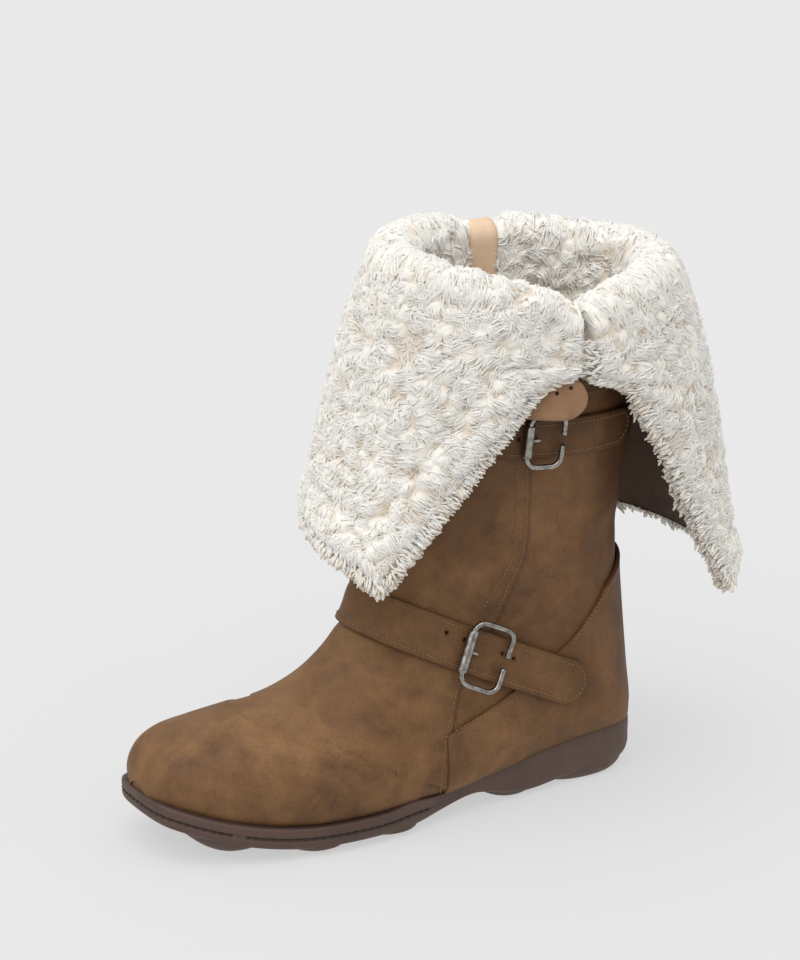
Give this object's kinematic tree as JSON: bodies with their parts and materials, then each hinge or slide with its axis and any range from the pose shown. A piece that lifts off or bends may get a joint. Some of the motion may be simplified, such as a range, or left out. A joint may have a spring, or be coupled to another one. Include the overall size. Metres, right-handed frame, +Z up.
{
  "type": "winter boot",
  "caption": "Left mid-calf leather winter boot with a folded fleece cuff, buckled straps, a heel counter and a lugged rubber sole.",
  "frame": {"origin": "on the floor, at the middle of the rear heel lug", "axes": "+X from heel to toe, +Y to the outer side of the left foot, +Z up"},
  "size_m": [0.3215, 0.1504, 0.2789],
  "materials": {
    "sole": "matte moulded",
    "upper_leather": "oiled nubuck, mottled",
    "counter_leather": "oiled nubuck, mottled",
    "strap_leather": "oiled nubuck, edge stitched",
    "strap_lining": "smooth tan",
    "loop_leather": "smooth tan",
    "fleece": "curly pile",
    "footbed": "short pile",
    "buckle_metal": "polished nickel"
  },
  "bodies": {
    "root": {"outsole": "sole", "upper": "upper_leather", "insole": "footbed", "heel_counter": "counter_leather", "cuff": "fleece", "pull_loop": "loop_leather", "strap_top": "strap_lining", "strap_lower": "strap_leather", "buckle_frame_lower": "buckle_metal", "buckle_roller_lower": "buckle_metal", "buckle_prong_lower": "buckle_metal", "strap_upper": "strap_leather", "buckle_frame_upper": "buckle_metal", "buckle_roller_upper": "buckle_metal", "buckle_prong_upper": "buckle_metal", "strap_tab": "strap_leather", "buckle_frame_tab": "buckle_metal"}
  },
  "joints": []
}
